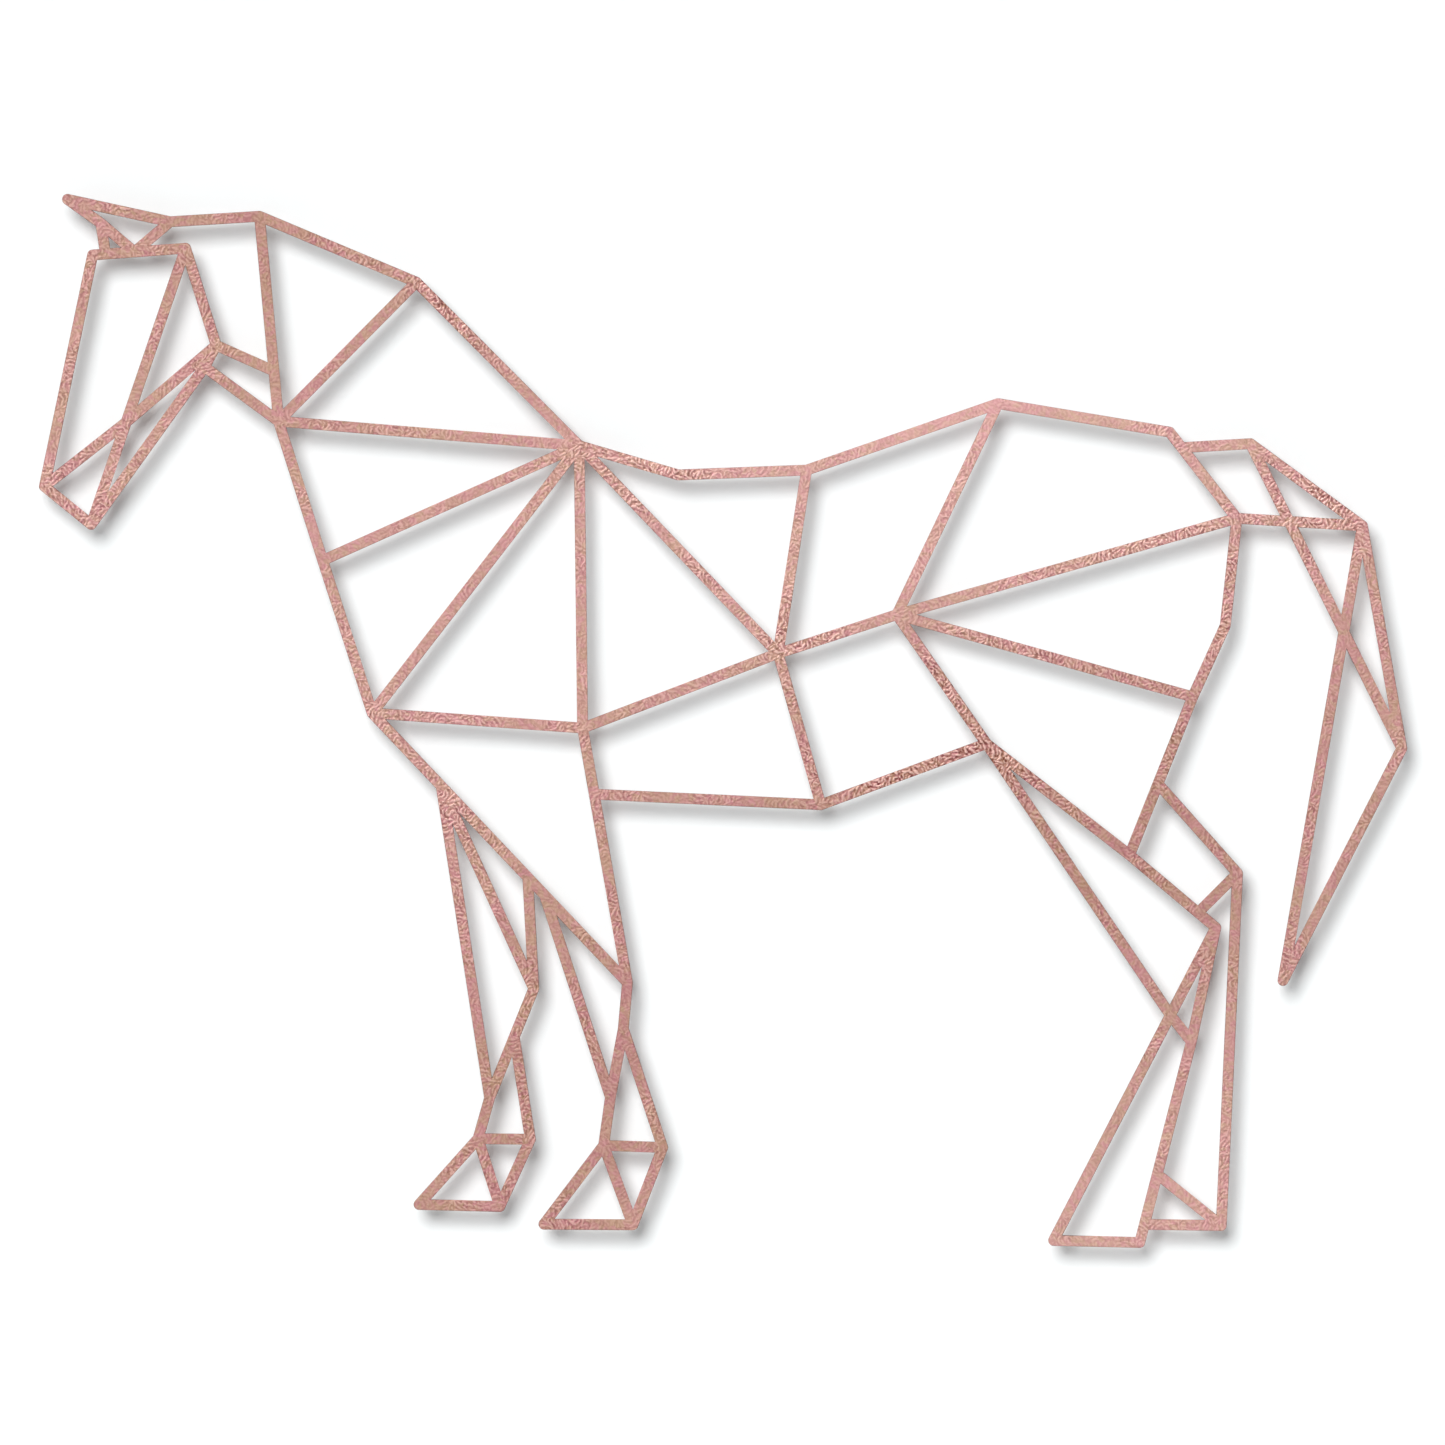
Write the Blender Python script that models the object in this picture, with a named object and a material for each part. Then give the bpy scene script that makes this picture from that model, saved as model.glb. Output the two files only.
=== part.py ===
"""A horse drawn in straight bars, cut as one openwork sheet of metal, for hanging on a wall.

The sheet stands upright: +X runs from the nose to the tail, +Z is up, and the front faces -Y.
Its back lies in the plane y = 0, with the origin behind the withers, where eight bars meet.
"""
import math

import bpy
from mathutils import Vector
from mathutils.geometry import delaunay_2d_cdt

# Driving dimensions, in metres
HORSE_LENGTH = 0.700
BAR_WIDTH = 0.0056
SHEET_THICKNESS = 0.002

# Where the bars meet, in thousandths of the run from the nose's joint to the tail's outermost one:
# along from the nose, and up from the lowest hoof.
JOINTS = {
    # head
    "ear_tip": (17, 768.5),
    "ear_front": (41.5, 751),
    "poll": (92.5, 752),
    "forehead": (35.5, 727.5),
    "cheek_top": (104, 732.5),
    "nose": (0, 557),
    "chin": (34.5, 529),
    "throat": (126.5, 661),
    "jaw": (118, 645),
    # neck and chest
    "neck_top": (158.5, 756),
    "neck_front": (172.5, 605),
    "crest": (274, 707.5),
    "withers": (394, 587),
    "breast": (205, 502.5),
    "chest": (241.5, 390),
    # body
    "back": (467, 565.5),
    "loin": (561.5, 569),
    "croup": (702.5, 618),
    "dock": (829, 597),
    "buttock": (878.5, 533.5),
    "rump": (870, 454.5),
    "thigh": (846, 402),
    "rib": (540.5, 434),
    "hip": (628, 462.5),
    "flank": (694, 367.5),
    "belly": (572, 322.5),
    "shoulder": (396.5, 379),
    # near foreleg
    "near_knee": (429.5, 191.5),
    "near_shin": (426.5, 157.5),
    "near_shank": (417, 107),
    "near_fetlock": (412, 71.5),
    "near_pastern": (455.5, 70),
    "near_toe": (368, 13.5),
    "near_heel": (433.5, 13),
    # far foreleg
    "far_knee": (360.5, 187),
    "far_shank": (328, 106.5),
    "far_fetlock": (319.5, 76.5),
    "far_pastern": (358, 76),
    "far_toe": (276, 28),
    "far_heel": (335.5, 26.5),
    # hind legs
    "gaskin": (799.5, 285.5),
    "hock_front": (863, 232),
    "hock_back": (879, 272),
    "cannon": (845, 148),
    "near_hind_toe": (743.5, 1.5),
    "near_hind_heel": (807, 0),
    "far_hind_heel": (867, 12.5),
    # tail
    "tail_top": (888.5, 588.5),
    "tail_bend": (971, 528),
    "tail_out": (1000, 364),
    "tail_tip": (912.5, 193),
}

# Where a bar ends on the middle of another: that bar's two ends, and the share of the way along it.
LANDINGS = {
    "brow_front": ("forehead", "cheek_top", 0.14),
    "brow_back": ("forehead", "cheek_top", 0.45),
    "cheek": ("cheek_top", "chin", 0.63),
    "neck_side": ("neck_top", "neck_front", 0.755),
    "elbow": ("shoulder", "near_knee", 0.26),
    "far_arm": ("chest", "near_knee", 0.27),
    "far_forearm": ("chest", "near_knee", 0.61),
    "near_forearm": ("chest", "near_knee", 0.675),
    "far_shin": ("far_knee", "far_shank", 0.44),
    "stifle": ("thigh", "gaskin", 0.55),
    "hock_middle": ("gaskin", "hock_front", 0.795),
    "tail_root": ("dock", "buttock", 0.18),
    "near_cannon": ("hock_front", "near_hind_toe", 0.28),
    "far_pastern_top": ("cannon", "near_hind_heel", 0.66),
    "far_hind_toe": ("cannon", "near_hind_heel", 0.91),
}

# The bars, as lines that run straight from joint to joint
HEAD_LINES = (
    ("ear_tip", "poll", "brow_back"),
    ("ear_tip", "ear_front", "brow_back"),
    ("ear_front", "brow_front"),
    ("cheek_top", "forehead", "nose", "chin"),
    ("nose", "cheek", "throat"),
    ("cheek_top", "chin"),
    ("cheek_top", "throat"),
    ("chin", "jaw", "throat"),
)
NECK_LINES = (
    ("poll", "neck_top", "crest", "withers"),
    ("neck_top", "neck_front"),
    ("throat", "neck_side"),
    ("jaw", "neck_front"),
    ("crest", "neck_front", "withers"),
    ("neck_front", "breast", "chest"),
    ("breast", "withers"),
    ("chest", "withers"),
)
BODY_LINES = (
    ("withers", "back", "loin", "croup", "dock", "buttock"),
    ("chest", "shoulder", "withers"),
    ("shoulder", "rib", "withers"),
    ("loin", "rib", "belly"),
    ("rib", "hip", "croup"),
    ("hip", "flank", "belly", "elbow"),
    ("hip", "buttock", "rump", "thigh", "gaskin"),
    ("hip", "thigh"),
)
FORELEG_LINES = (
    ("chest", "near_knee"),
    ("shoulder", "near_knee"),
    ("near_forearm", "near_shank"),
    ("near_knee", "near_shin", "near_shank", "near_fetlock"),
    ("near_shin", "near_pastern"),
    ("far_arm", "far_shank"),
    ("far_arm", "far_knee"),
    ("far_forearm", "far_knee"),
    ("far_knee", "far_shank", "far_fetlock"),
    ("far_shin", "far_pastern"),
)
HIND_LEG_LINES = (
    ("flank", "gaskin", "hock_front"),
    ("stifle", "hock_back", "hock_middle"),
    ("flank", "near_cannon", "cannon"),
    ("hock_front", "near_hind_toe", "near_hind_heel"),
    ("hock_front", "cannon", "near_hind_heel"),
    ("hock_back", "far_hind_heel", "far_pastern_top"),
    ("far_hind_toe", "far_hind_heel"),
)
TAIL_LINES = (
    ("tail_root", "tail_top", "tail_bend", "tail_out", "tail_tip"),
    ("buttock", "tail_bend", "tail_tip"),
    ("tail_top", "tail_out"),
)

ORIGIN_JOINT = "withers"
NOSE_TO_TAIL_SHARES = 1000
ARC_STEP = math.radians(15)
STRAIGHT_ENOUGH = math.radians(0.1)
MERGE_DISTANCE = 1e-6
QUARTER_TURN = math.radians(90)
HALF_TURN = math.radians(180)
FULL_TURN = math.radians(360)
# The triangulation's output type that keeps only the triangles within the shapes' bounds
TRIANGLES_INSIDE = 1


def front_hoof_lines(side):
    """The five bars of a front hoof, under the fetlock and pastern of the near or far side."""
    fetlock, pastern, toe, heel = (f"{side}_{name}" for name in ("fetlock", "pastern", "toe", "heel"))
    return ((fetlock, pastern, heel, toe, fetlock), (fetlock, heel))


def joint_places():
    """Each joint's place on the sheet in metres, measured from the origin's joint."""
    run = HORSE_LENGTH - BAR_WIDTH
    scale = run / NOSE_TO_TAIL_SHARES
    origin = Vector(JOINTS[ORIGIN_JOINT])
    places = {name: (Vector(share) - origin) * scale for name, share in JOINTS.items()}
    for name, (start, end, share) in LANDINGS.items():
        places[name] = places[start].lerp(places[end], share)
    return places


def bars():
    """Every bar as a pair of joints."""
    lines = HEAD_LINES + NECK_LINES + BODY_LINES + FORELEG_LINES + HIND_LEG_LINES + TAIL_LINES
    for side in ("near", "far"):
        lines += front_hoof_lines(side)
    return [pair for line in lines for pair in zip(line, line[1:])]


def angle_between(start, end):
    """The direction from one place to another, as an angle."""
    return math.atan2(end.y - start.y, end.x - start.x)


def at_angle(angle, distance):
    """A step of the given length in the given direction."""
    return Vector((math.cos(angle), math.sin(angle))) * distance


def bar_shape(start, end):
    """The straight strip between two joints."""
    side = at_angle(angle_between(start, end) + QUARTER_TURN, BAR_WIDTH / 2)
    return [start - side, end - side, end + side, start + side]


def corner_shapes(centre, angles):
    """Slices of a disc that round a joint off where its bars leave over half a turn free."""
    shapes = []
    angles = sorted(angles)
    for angle, following in zip(angles, angles[1:] + [angles[0] + FULL_TURN]):
        turn = following - angle - HALF_TURN
        if turn < STRAIGHT_ENOUGH:
            continue
        first = angle + QUARTER_TURN
        steps = math.ceil(turn / ARC_STEP)
        arc = [centre + at_angle(first + turn * i / steps, BAR_WIDTH / 2) for i in range(steps + 1)]
        shapes.append([centre] + arc)
    return shapes


def drawing_shapes():
    """The flat shapes that overlap to make the whole drawing."""
    places = joint_places()
    shapes = []
    angles = {name: [] for name in places}
    for name, (start, end, _) in LANDINGS.items():
        angles[name] += [angle_between(places[name], places[start]), angle_between(places[name], places[end])]
    for start, end in bars():
        shapes.append(bar_shape(places[start], places[end]))
        angles[start].append(angle_between(places[start], places[end]))
        angles[end].append(angle_between(places[end], places[start]))
    for name, place in places.items():
        shapes += corner_shapes(place, angles[name])
    return shapes


def outlines(shapes):
    """The closed outlines of the shapes' union: the outer one and those of the windows."""
    points = []
    faces = []
    for shape in shapes:
        faces.append(list(range(len(points), len(points) + len(shape))))
        points += shape
    corners, _, cells, _, _, owners = delaunay_2d_cdt(points, [], faces, TRIANGLES_INSIDE, MERGE_DISTANCE)
    filled = [cell for cell, owner in zip(cells, owners) if owner]
    steps = {(cell[i - 1], cell[i]) for cell in filled for i in range(len(cell))}
    following = {start: end for start, end in steps if (end, start) not in steps}
    loops = []
    while following:
        start, end = following.popitem()
        loop = [start]
        while end != start:
            loop.append(end)
            end = following.pop(end)
        loops.append([corners[index] for index in loop])
    return loops


def coated_metal():
    """A rose-gold textured coat on sheet metal."""
    material = bpy.data.materials.new("rose_gold_coat")
    material.use_nodes = True
    shader = material.node_tree.nodes["Principled BSDF"]
    shader.inputs["Base Color"].default_value = (0.58, 0.28, 0.24, 1.0)
    shader.inputs["Roughness"].default_value = 0.5
    shader.inputs["Metallic"].default_value = 0.4
    return material


def horse_sheet(collection):
    """The whole drawing as one sheet, standing upright with its back at y = 0."""
    curve = bpy.data.curves.new("horse_sheet", "CURVE")
    curve.dimensions = "2D"
    curve.fill_mode = "BOTH"
    curve.extrude = SHEET_THICKNESS / 2
    for loop in outlines(drawing_shapes()):
        spline = curve.splines.new("POLY")
        spline.points.add(len(loop) - 1)
        for point, corner in zip(spline.points, loop):
            point.co = (corner.x, corner.y, 0.0, 1.0)
        spline.use_cyclic_u = True
    curve.materials.append(coated_metal())
    sheet = bpy.data.objects.new("horse_sheet", curve)
    sheet.location = (0.0, -SHEET_THICKNESS / 2, 0.0)
    sheet.rotation_euler = (QUARTER_TURN, 0.0, 0.0)
    collection.objects.link(sheet)
    return sheet


def main():
    for old in list(bpy.data.objects):
        bpy.data.objects.remove(old)
    collection = bpy.data.collections.new("geometric_horse")
    bpy.context.scene.collection.children.link(collection)
    horse_sheet(collection)


main()
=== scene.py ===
"""The looks of the wall horse: its coated sheet, the pale wall it hangs on, the light and the camera."""
import math

import bmesh
import bpy
from mathutils import Matrix, Vector


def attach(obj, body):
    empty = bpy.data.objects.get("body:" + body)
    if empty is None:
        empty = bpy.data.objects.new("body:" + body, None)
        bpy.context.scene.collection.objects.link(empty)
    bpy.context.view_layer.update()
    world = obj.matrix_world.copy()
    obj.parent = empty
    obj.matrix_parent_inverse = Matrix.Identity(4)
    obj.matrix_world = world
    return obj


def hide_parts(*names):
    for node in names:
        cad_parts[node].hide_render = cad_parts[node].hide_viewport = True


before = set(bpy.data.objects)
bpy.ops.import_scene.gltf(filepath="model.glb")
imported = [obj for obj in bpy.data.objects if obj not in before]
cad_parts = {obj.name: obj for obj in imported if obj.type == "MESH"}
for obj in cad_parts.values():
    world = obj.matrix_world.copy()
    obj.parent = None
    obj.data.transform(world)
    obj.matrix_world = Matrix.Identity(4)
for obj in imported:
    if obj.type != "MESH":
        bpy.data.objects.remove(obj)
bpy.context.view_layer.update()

# Lengths are in metres, except the lens and its sensor, which are in millimetres
UPRIGHT = math.radians(90)
LEVEL = 0.0
WHITE = (1.0, 1.0, 1.0, 1.0)

# The photograph's frame where it crosses the sheet's front face, seen through a long lens
FRAME_WIDTH = 0.7392
FRAME_CENTRE = (0.0733, -0.1416)
LENS = 600.0
SENSOR_WIDTH = 36.0

# The sheet, and its cut edges as the coat rounds them
SHEET_FRONT = -0.002
COAT_ROUNDING = 0.00035
ROUNDING_STEPS = 3
SAME_POINT = 1e-6
CUT_EDGE_ANGLE = math.radians(30)

# The coat's pattern is flat, and leans so that it also changes over the cut sides
PATTERN_ACROSS = (1.0, 0.6, 0.0)
PATTERN_UP = (0.0, 0.8, 1.0)
PATTERN_BEND = 0.0009
CELL_SIZE = 0.0024

# The grain's creases: how well they keep to one direction, and how far it turns from patch to patch
CREASE_SPACING = 0.0022
CREASE_LENGTH = 0.0026
CREASE_STRAIGHTNESS = 0.75
CREASE_TURN = 14.0

# What goes into the grain's height, and how deep the bump makes it
RIDGE_HEIGHT = 0.57
PIT_HEIGHT = 0.34
FINE_HEIGHT = 0.24
GRAIN_BASE = 0.25
GRAIN_DEPTH = 0.00022

# How strong the grain is everywhere, and how much more where its own noise is high
WEAK_GRAIN = 0.30
STRONG_GRAIN = 0.40

# The coat's noises: the size of their lumps, and how much finer detail they carry
BEND_NOISE = (1 / 450, 1.0)
FINE_NOISE = (0.0008, 2.0)
PIT_NOISE = (0.0014, 0.5)
SPECK_NOISE = (0.0014, 1.0)
SHADE_NOISE = (0.012, 1.5)
CREASE_NOISE = (0.016, 1.0)
DRIFT_NOISE = (0.030, 2.0)
STRONG_NOISE = (0.035, 2.0)

# The levels between which each part of the coat comes in
RIDGE_LEVELS = (0.30, 0.70)
PIT_LEVELS = (0.54, 0.66)
SPECK_LEVELS = (0.66, 0.72)
SHADE_LEVELS = (0.38, 0.62)
DRIFT_LEVELS = (0.35, 0.65)
STRONG_LEVELS = (0.40, 0.62)
HOLLOW_LEVELS = (0.15, 0.50)
CROWN_LEVELS = (0.50, 0.85)
FLAT_LEVELS = (0.35, 0.94)

# The coat's colour runs from pink to tan, by a broad drift and from cell to cell
PINK = (0.468, 0.221, 0.222, 1.0)
TAN = (0.433, 0.266, 0.189, 1.0)
DRIFT_SHARE = 0.42
CELL_SHARE = 0.9
PINK_SHARE = 0.16

# What is mixed into that: the most of it, and its colour. The hollows' tint is painted shade and the
# crowns' tint painted highlights
SHADE_TINT = (0.15, (0.26, 0.118, 0.095, 1.0))
HOLLOW_PAINTED_SHADE = (0.53, (0.15, 0.058, 0.046, 1.0))
CROWN_PAINTED_HIGHLIGHT = (0.48, (0.80, 0.545, 0.48, 1.0))
SPECK_TINT = (0.5, (0.28, 0.13, 0.11, 1.0))

# The greyer cut sides, and how much more grey sits in their pits
SIDE_COLOUR = (0.25, 0.165, 0.14, 1.0)
SIDE_SHARE = 0.55
SIDE_PIT_SHARE = 0.4

# What a patch of painted sheen adds to the colour, and what strong grain takes off it to keep its mean
PAINTED_SHEEN = (0.353, 0.247, 0.240)
GRAIN_LOSS = (-0.012, -0.028, -0.021)

# How the coat shines: the crowns are a little smoother than the rest
METAL_SHARE = 0.40
ROUGHNESS = 0.44
FINE_ROUGHNESS = 0.2
CROWN_POLISH = 0.1

# Soft round patches of painted sheen on the front: their middle, along and up, their reach, and how much
# they add there, with less than none painted darker
SHEEN_PATCHES = (
    ((0.20, -0.01), 0.26, 0.31),    # back and croup, paler
    ((0.28, -0.43), 0.35, 0.14),    # hind hooves, paler
    ((0.23, -0.19), 0.27, -0.32),   # stifle, darker
    ((-0.01, -0.34), 0.22, -0.20),  # forelegs, darker
    ((-0.15, 0.14), 0.21, -0.16),   # crest, darker
)
GRAIN_PATCHES = (
    ((0.045, 0.000), 0.065, 0.80),  # withers
    ((-0.06, 0.075), 0.045, 0.85),  # crest
    ((0.075, -0.05), 0.045, 0.45),  # between withers and rib
    ((0.11, -0.095), 0.045, 0.70),  # rib
    ((0.18, -0.16), 0.10, 0.90),    # flank
    ((0.29, -0.075), 0.10, 0.85),   # rump
    ((0.385, -0.03), 0.055, 0.90),  # tail
    ((-0.12, -0.18), 0.10, 0.80),   # chest and far foreleg
    ((-0.235, -0.03), 0.06, 0.50),  # chin
)

# The room, in a slightly cool white that balances the pink light the sheet throws on it
WALL_GAP = 0.014
FLOOR_DROP = 1.64
ROOM_HALF_WIDTH = 20.0
WALL_HEIGHT = 6.0
COOL_WHITE = (0.880, 0.900, 0.903, 1.0)

# One broad soft light, and surroundings that are dim as a light but pale where the camera sees them
SOFT_LIGHT_WAY = (0.285, 1.0, -0.435)
SOFT_LIGHT_SPREAD = math.radians(35)
SOFT_LIGHT_STRENGTH = 3.05
SURROUNDINGS_LIGHT = 0.06
SURROUNDINGS_SHADE = 0.90


class Tone:
    """A socket of a finish's nodes. Arithmetic on it adds Math nodes."""

    def __init__(self, finish, socket):
        self.finish = finish
        self.socket = socket

    def worked(self, operation, first, second):
        return self.finish.node("Math", {"operation": operation}, {0: first, 1: second})

    def __add__(self, other):
        return self.worked("ADD", self, other)

    def __sub__(self, other):
        return self.worked("SUBTRACT", self, other)

    def __rsub__(self, other):
        return self.worked("SUBTRACT", other, self)

    def __mul__(self, other):
        return self.worked("MULTIPLY", self, other)

    __radd__ = __add__
    __rmul__ = __mul__


class Finish:
    """The nodes that make the look of a material or of the surroundings."""

    def __init__(self, wearer):
        wearer.use_nodes = True
        self.tree = wearer.node_tree
        self.tree.nodes.clear()

    def node(self, kind, settings, inputs, output=0):
        """Adds a node, sets it up, fills or joins its inputs, and returns one of its outputs, if any."""
        made = self.tree.nodes.new("ShaderNode" + kind)
        for name, setting in settings.items():
            setattr(made, name, setting)
        for name, value in inputs.items():
            socket = self.socket(made.inputs, name)
            if isinstance(value, Tone):
                self.tree.links.new(value.socket, socket)
            else:
                socket.default_value = value
        return Tone(self, self.socket(made.outputs, output)) if made.outputs else None

    def socket(self, sockets, name):
        """The socket with that number, or the one in use with that name."""
        if isinstance(name, int):
            return sockets[name]
        return next(socket for socket in sockets if socket.enabled and socket.name == name)

    def eased(self, value, start, end, before=0.0, after=1.0):
        """One number up to the start, another from the end on, and smooth between them."""
        levels = {"Value": value, "From Min": start, "From Max": end, "To Min": before, "To Max": after}
        return self.node("MapRange", {"interpolation_type": "SMOOTHSTEP"}, levels, "Result")

    def patches(self, place, base, spots):
        """A base number with soft round patches added to it."""
        total = base
        for (along, up), reach, share in spots:
            middle = (along, 0.0, up)
            away = self.node("VectorMath", {"operation": "DISTANCE"}, {0: place, 1: middle}, "Value")
            total = total + self.eased(away, 0.0, reach, share, 0.0)
        return total

    def noise(self, place, size, detail, output="Fac"):
        """Soft noise from 0 to 1 with lumps of about the given size."""
        return self.node("TexNoise", {}, {"Vector": place, "Scale": 1 / size, "Detail": detail}, output)

    def along(self, place, direction):
        """How far a place, or any three numbers, lies along a direction."""
        return self.node("VectorMath", {"operation": "DOT_PRODUCT"}, {0: place, 1: direction}, "Value")

    def blend(self, share, first, second):
        """The first colour turning into the second as the share goes from 0 to 1."""
        return self.node("Mix", {"data_type": "RGBA"}, {"Factor": share, "A": first, "B": second}, "Result")

    def tinted(self, tone, where, tint):
        """A colour with a tint mixed in, the most of it where the mask is 1."""
        most, colour = tint
        return self.blend(where * most, tone, colour)

    def shifted(self, start, share, change):
        """A colour or place with a share of a change added to it. The share is one number, or three."""
        parts = {0: share, 1: change, 2: start}
        return self.node("VectorMath", {"operation": "MULTIPLY_ADD"}, parts, "Vector")


def rose_gold_coat():
    """A powder coat in rose gold: leather-like grain, strong in patches, drifting from pink to tan, with
    painted shade in the grain's hollows, painted highlights on its crowns and a broad painted sheen in
    patches.
    """
    coat = bpy.data.materials.new("rose_gold_coat")
    finish = Finish(coat)
    place = finish.node("TexCoord", {}, {}, "Object")
    pattern = {"X": finish.along(place, PATTERN_ACROSS), "Y": finish.along(place, PATTERN_UP)}
    face = finish.node("CombineXYZ", {}, pattern, "Vector")
    bent = finish.shifted(face, finish.noise(place, *BEND_NOISE, "Color"), (PATTERN_BEND,) * 3)

    fine = finish.noise(place, *FINE_NOISE)
    creases = {
        "Vector": bent,
        "Scale": 1 / CREASE_LENGTH,
        "Frequency": CREASE_LENGTH / CREASE_SPACING,
        "Anisotropy": CREASE_STRAIGHTNESS,
        "Orientation": finish.noise(place, *CREASE_NOISE) * CREASE_TURN,
    }
    ridges = finish.eased(finish.node("TexGabor", {"gabor_type": "2D"}, creases, "Value"), *RIDGE_LEVELS)
    pits = finish.eased(finish.noise(bent, *PIT_NOISE), *PIT_LEVELS)
    grain = ridges * RIDGE_HEIGHT - pits * PIT_HEIGHT + fine * FINE_HEIGHT + GRAIN_BASE
    strong = finish.eased(finish.noise(place, *STRONG_NOISE), *STRONG_LEVELS)
    strength = strong * STRONG_GRAIN + finish.patches(place, WEAK_GRAIN, GRAIN_PATCHES)
    # Painted shade darkens the grain's hollows and painted highlights lighten its crowns; the crowns are
    # also a little smoother
    shaded_hollows = (1 - finish.eased(grain, *HOLLOW_LEVELS)) * strength
    crowns = finish.eased(grain, *CROWN_LEVELS) * strength

    cells = {"Vector": bent, "Scale": 1 / CELL_SIZE}
    chance = finish.node("TexVoronoi", {"voronoi_dimensions": "2D"}, cells, "Color")
    drift = finish.eased(finish.noise(place, *DRIFT_NOISE), *DRIFT_LEVELS)
    warmth = drift * DRIFT_SHARE + finish.along(chance, (CELL_SHARE, 0.0, 0.0)) - PINK_SHARE
    tone = finish.blend(warmth, PINK, TAN)
    shade = finish.eased(finish.noise(place, *SHADE_NOISE), *SHADE_LEVELS)
    specks = finish.eased(finish.noise(place, *SPECK_NOISE), *SPECK_LEVELS)
    # Mixed in: a darker mottle and specks of the coat's own, painted shade in the grain's hollows and
    # painted highlights on its crowns
    tints = ((shade, SHADE_TINT), (shaded_hollows, HOLLOW_PAINTED_SHADE), (crowns, CROWN_PAINTED_HIGHLIGHT), (specks, SPECK_TINT))
    for where, tint in tints:
        tone = finish.tinted(tone, where, tint)

    facing = finish.node("TexCoord", {}, {}, "Normal")
    front_or_back = finish.along(facing, (0.0, 1.0, 0.0))
    flat = finish.eased(front_or_back * front_or_back, *FLAT_LEVELS)
    tone = finish.blend((1 - flat) * (pits * SIDE_PIT_SHARE + SIDE_SHARE), tone, SIDE_COLOUR)
    tone = finish.shifted(tone, strength, GRAIN_LOSS)
    # Broad painted sheen: paler patches on the back, croup and hind hooves, darker ones where the sheen is
    # taken off
    tone = finish.shifted(tone, finish.patches(place, 0.0, SHEEN_PATCHES), PAINTED_SHEEN)

    surface = finish.node("BsdfPrincipled", {}, {
        "Base Color": tone,
        "Metallic": METAL_SHARE,
        "Roughness": fine * FINE_ROUGHNESS + (ROUGHNESS - CROWN_POLISH * crowns),
        "Normal": finish.node("Bump", {}, {"Height": grain * strength, "Distance": GRAIN_DEPTH}, "Normal"),
    }, "BSDF")
    finish.node("OutputMaterial", {}, {"Surface": surface})
    return coat


def is_rim(edge):
    """Whether an edge is where the sheet's front or back meets its cut side."""
    start, end = edge.verts
    return abs(start.co.y - end.co.y) < SAME_POINT and edge.calc_face_angle(0.0) > CUT_EDGE_ANGLE


def coated_sheet(flat_sheet):
    """The horse's sheet with its cut edges rounded by the coat."""
    shape = bmesh.new()
    shape.from_mesh(flat_sheet.data)
    bmesh.ops.remove_doubles(shape, verts=shape.verts, dist=SAME_POINT)
    rims = [edge for edge in shape.edges if is_rim(edge)]
    bmesh.ops.bevel(shape, geom=rims, offset=COAT_ROUNDING, offset_type="OFFSET", segments=ROUNDING_STEPS,
                    profile=0.5, affect="EDGES", material=-1, clamp_overlap=False)
    for face in shape.faces:
        face.smooth = True
    mesh = bpy.data.meshes.new("coated_sheet")
    shape.to_mesh(mesh)
    shape.free()
    mesh.materials.append(rose_gold_coat())
    sheet = bpy.data.objects.new("coated_sheet", mesh)
    bpy.context.scene.collection.objects.link(sheet)
    shading = sheet.modifiers.new("flat_faces_stay_flat", "WEIGHTED_NORMAL")
    shading.keep_sharp = True
    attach(sheet, "root")
    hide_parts(flat_sheet.name)


def pale_paint():
    """Matt paint that shows only from its front, so that the horse's back can be seen through the wall."""
    painted = bpy.data.materials.new("pale_paint")
    finish = Finish(painted)
    behind = finish.node("NewGeometry", {}, {}, "Backfacing")
    paint = finish.node("BsdfDiffuse", {}, {"Color": COOL_WHITE}, "BSDF")
    clear = finish.node("BsdfTransparent", {}, {}, "BSDF")
    shown = finish.node("MixShader", {}, {0: behind, 1: paint, 2: clear})
    finish.node("OutputMaterial", {}, {"Surface": shown})
    return painted


def pale_sheet(name, paint, turn, middle, half_width, half_depth):
    """A flat rectangle of the room, facing up before its turn."""
    shape = bmesh.new()
    bmesh.ops.create_grid(shape, x_segments=1, y_segments=1, size=1.0)
    stretch = Matrix.Diagonal((half_width, half_depth, 1.0, 1.0))
    shape.transform(Matrix.Translation(middle) @ Matrix.Rotation(turn, 4, "X") @ stretch)
    mesh = bpy.data.meshes.new(name)
    shape.to_mesh(mesh)
    shape.free()
    mesh.materials.append(paint)
    room_part = bpy.data.objects.new(name, mesh)
    bpy.context.scene.collection.objects.link(room_part)


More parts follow.
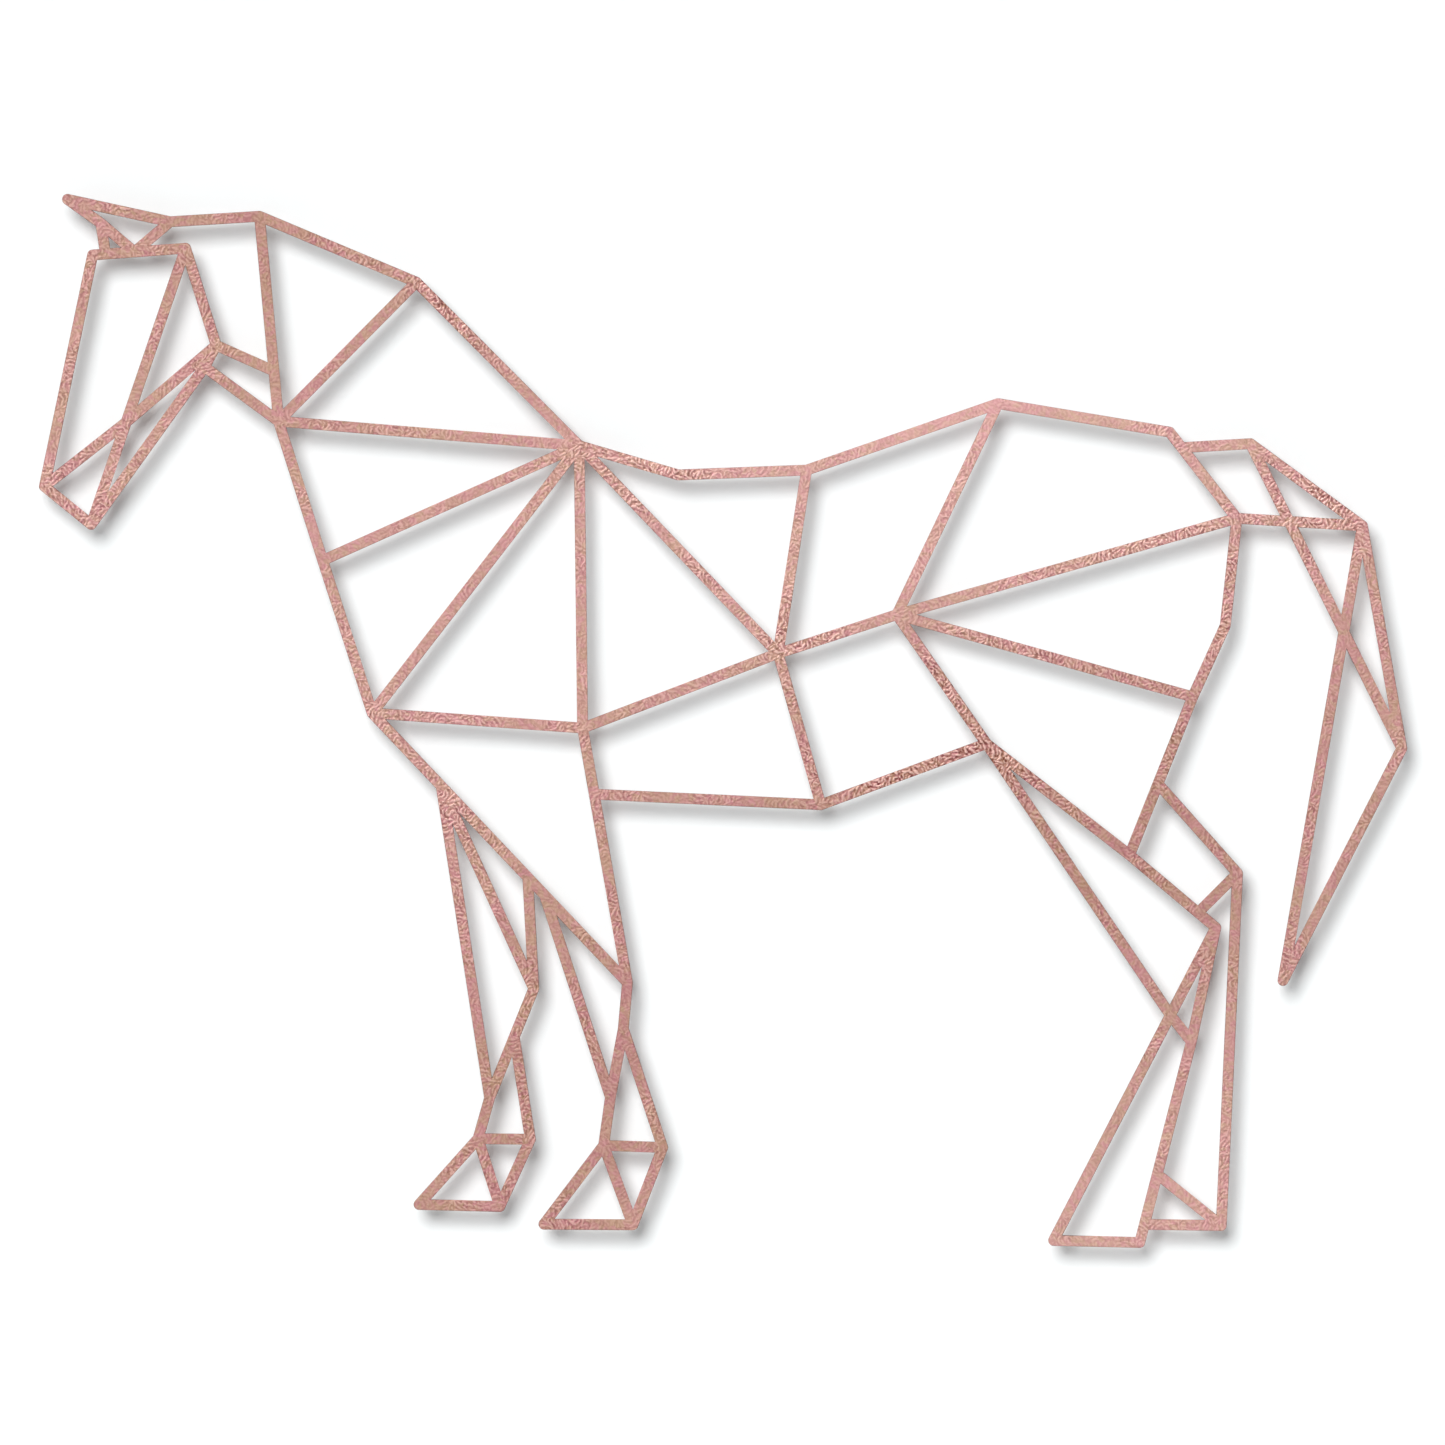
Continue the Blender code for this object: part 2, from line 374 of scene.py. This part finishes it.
def room():
    """The wall just behind the sheet and the floor far below it."""
    paint = pale_paint()
    wall_middle = (0.0, WALL_GAP, -FLOOR_DROP + WALL_HEIGHT / 2)
    pale_sheet("wall", paint, UPRIGHT, wall_middle, ROOM_HALF_WIDTH, WALL_HEIGHT / 2)
    floor_middle = (0.0, WALL_GAP - ROOM_HALF_WIDTH, -FLOOR_DROP)
    pale_sheet("floor", paint, LEVEL, floor_middle, ROOM_HALF_WIDTH, ROOM_HALF_WIDTH)


def soft_light():
    """A broad soft light from the front, up on the left, which throws the shadow down to the right."""
    broad = bpy.data.lights.new("soft_light", "SUN")
    broad.angle = SOFT_LIGHT_SPREAD
    broad.energy = SOFT_LIGHT_STRENGTH
    lamp = bpy.data.objects.new("soft_light", broad)
    lamp.rotation_euler = Vector(SOFT_LIGHT_WAY).to_track_quat("-Z", "Y").to_euler()
    bpy.context.scene.collection.objects.link(lamp)


def surroundings():
    """Pale surroundings that light the shadows a little."""
    world = bpy.data.worlds.new("surroundings")
    finish = Finish(world)
    seen = finish.node("LightPath", {}, {}, "Is Camera Ray")
    strengths = {"Value": seen, "To Min": SURROUNDINGS_LIGHT, "To Max": SURROUNDINGS_SHADE}
    strength = finish.node("MapRange", {}, strengths, "Result")
    backdrop = finish.node("Background", {}, {"Color": WHITE, "Strength": strength})
    finish.node("OutputWorld", {}, {"Surface": backdrop})
    bpy.context.scene.world = world


def camera():
    """The camera square in front of the sheet, with the photograph's frame."""
    lens = bpy.data.cameras.new("camera")
    lens.lens = LENS
    lens.sensor_width = SENSOR_WIDTH
    made = bpy.data.objects.new("camera", lens)
    distance = FRAME_WIDTH * LENS / SENSOR_WIDTH
    along, up = FRAME_CENTRE
    made.location = (along, SHEET_FRONT - distance, up)
    made.rotation_euler = (UPRIGHT, 0.0, 0.0)
    bpy.context.scene.collection.objects.link(made)
    bpy.context.scene.camera = made


coated_sheet(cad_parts["horse_sheet"])
room()
soft_light()
surroundings()
camera()
bpy.context.scene.view_settings.view_transform = "Standard"
